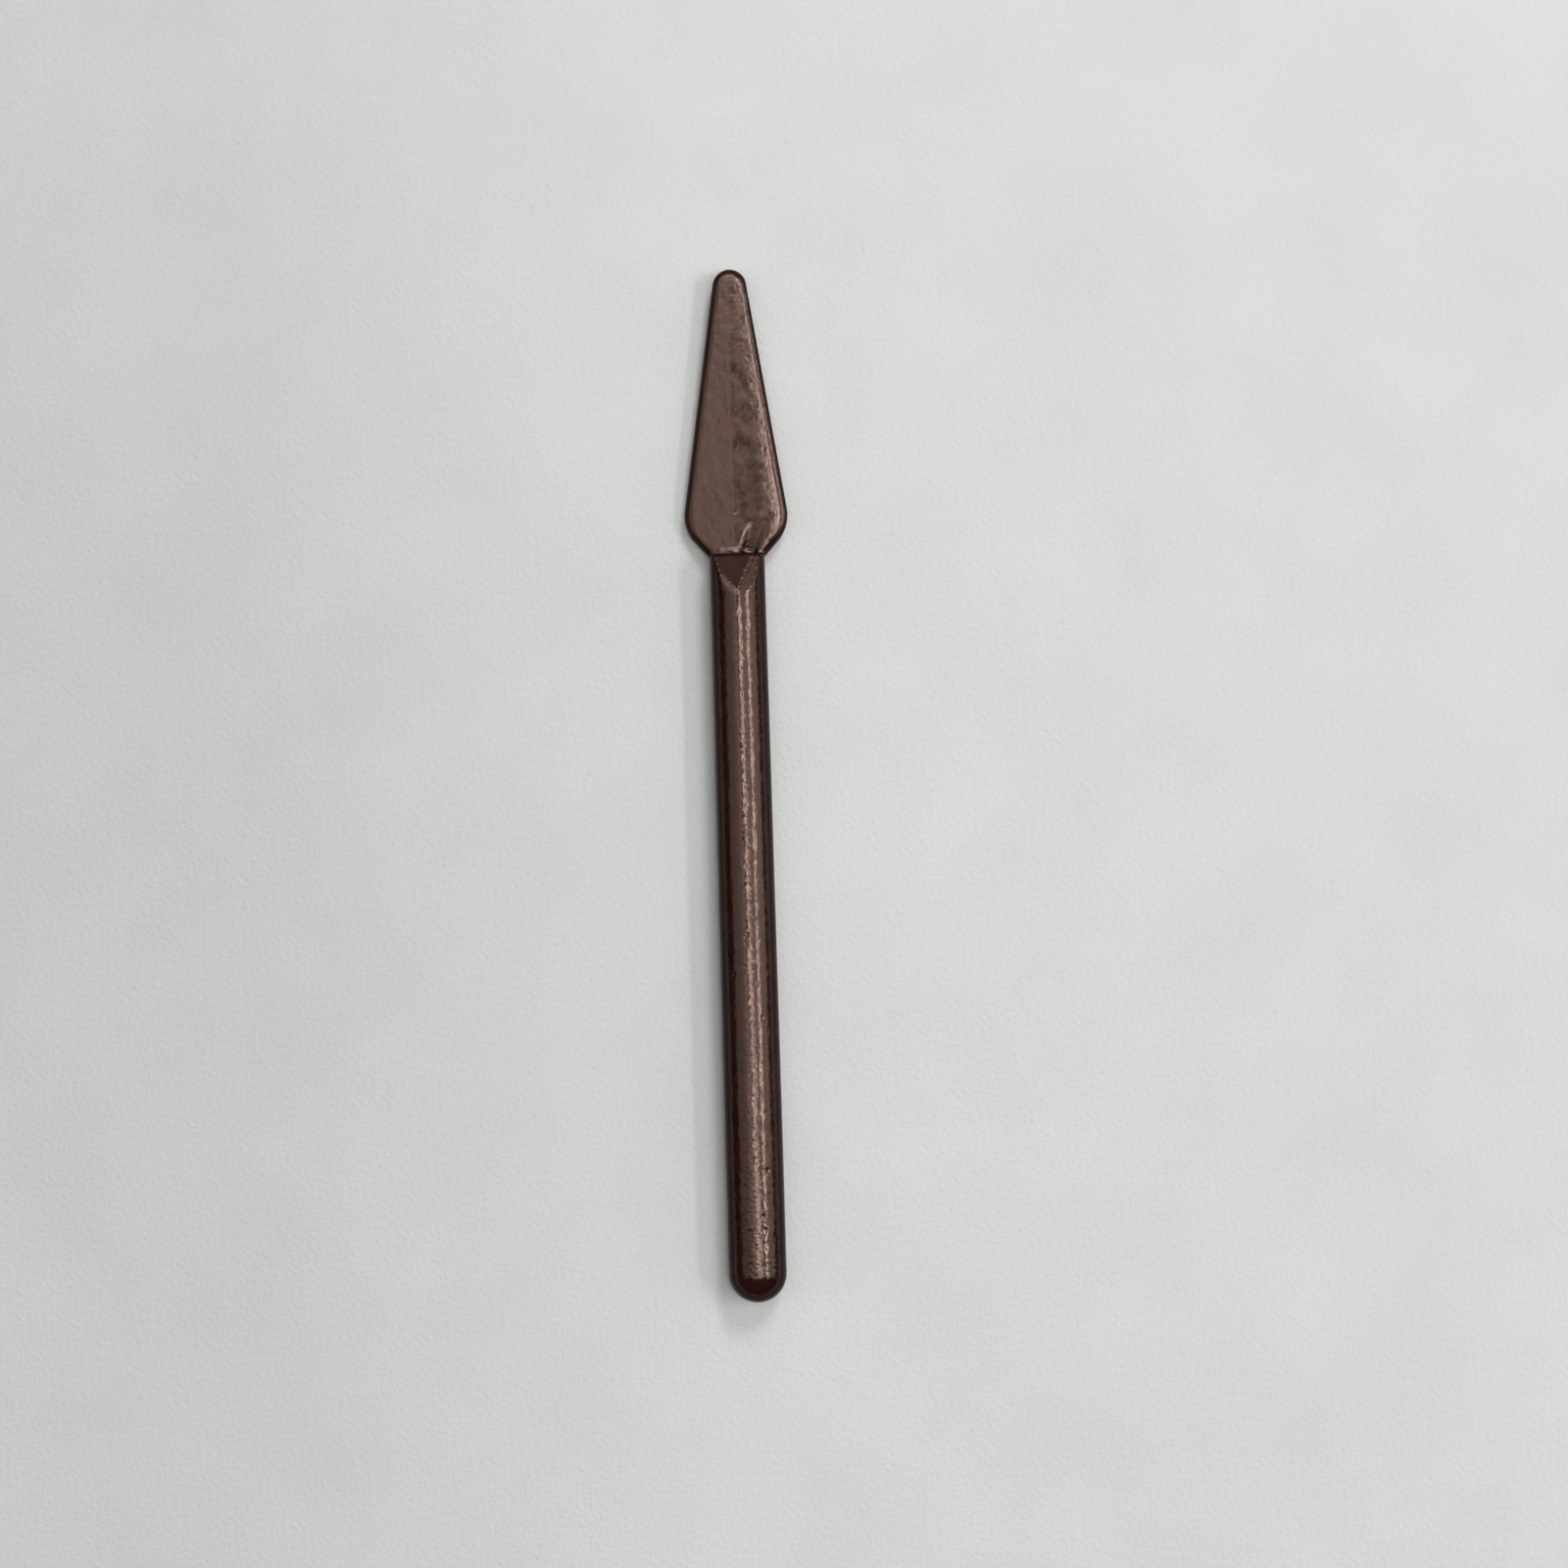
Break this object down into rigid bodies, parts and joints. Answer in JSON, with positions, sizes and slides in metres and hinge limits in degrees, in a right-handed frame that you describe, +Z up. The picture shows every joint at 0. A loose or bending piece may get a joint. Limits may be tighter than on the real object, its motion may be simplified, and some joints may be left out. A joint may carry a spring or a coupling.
{
  "type": "sculpting spatula",
  "caption": "One-piece moulded plastic sculpting spatula with a flat leaf-shaped blade, a ramped neck and a round handle with a domed butt.",
  "frame": {"origin": "on the bench plane, under the centre of the bounding box", "axes": "+Y runs along the handle to the tip of the blade, +Z is up out of the blade's face, +X is across the blade"},
  "size_m": [0.01, 0.1, 0.0056],
  "materials": {
    "brown_plastic": "dark chocolate brown moulded plastic, semi-gloss, with a fine rubbed grain and small nicks"
  },
  "bodies": {
    "root": {"spatula_moulding": "brown_plastic"}
  },
  "joints": []
}
